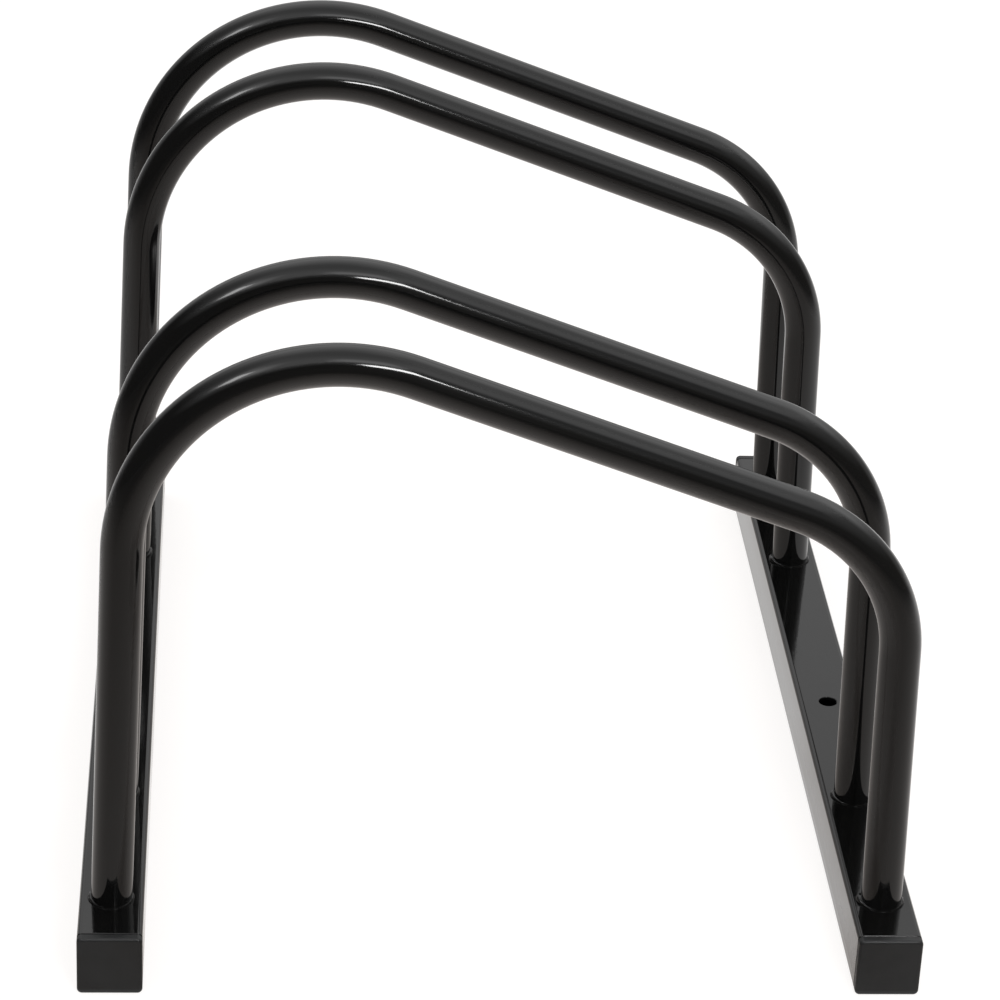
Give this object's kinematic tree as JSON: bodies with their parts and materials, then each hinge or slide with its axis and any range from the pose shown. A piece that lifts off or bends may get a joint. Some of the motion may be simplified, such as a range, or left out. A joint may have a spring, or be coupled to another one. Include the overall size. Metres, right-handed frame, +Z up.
{
  "type": "bike rack",
  "caption": "Low floor rack for bicycles: paired bent-tube hoops with sloping tops welded across square rails, each pair holding a wheel upright, rail ends closed by plastic caps.",
  "frame": {"origin": "on the floor, under the middle of the rack's box", "axes": "+X across the rack from the high shoulders of the hoops to the low ones, +Y along the rails from the front end to the rear end, +Z up"},
  "size_m": [0.325, 0.415, 0.262],
  "materials": {
    "rail_coat": "gloss black powder coat on square steel tube",
    "hoop_coat": "gloss black powder coat on bent round steel tube",
    "weld_coat": "gloss black powder coat over a rippled weld bead",
    "cap_plastic": "fine matt black moulded plastic"
  },
  "bodies": {
    "root": {"high_side_rail": "rail_coat", "low_side_rail": "rail_coat", "front_outer_hoop": "hoop_coat", "front_inner_hoop": "hoop_coat", "rear_inner_hoop": "hoop_coat", "rear_outer_hoop": "hoop_coat", "weld_front_outer_high": "weld_coat", "weld_front_outer_low": "weld_coat", "weld_front_inner_high": "weld_coat", "weld_front_inner_low": "weld_coat", "weld_rear_inner_high": "weld_coat", "weld_rear_inner_low": "weld_coat", "weld_rear_outer_high": "weld_coat", "weld_rear_outer_low": "weld_coat", "cap_front_high": "cap_plastic", "cap_front_low": "cap_plastic", "cap_rear_high": "cap_plastic", "cap_rear_low": "cap_plastic"}
  },
  "joints": []
}
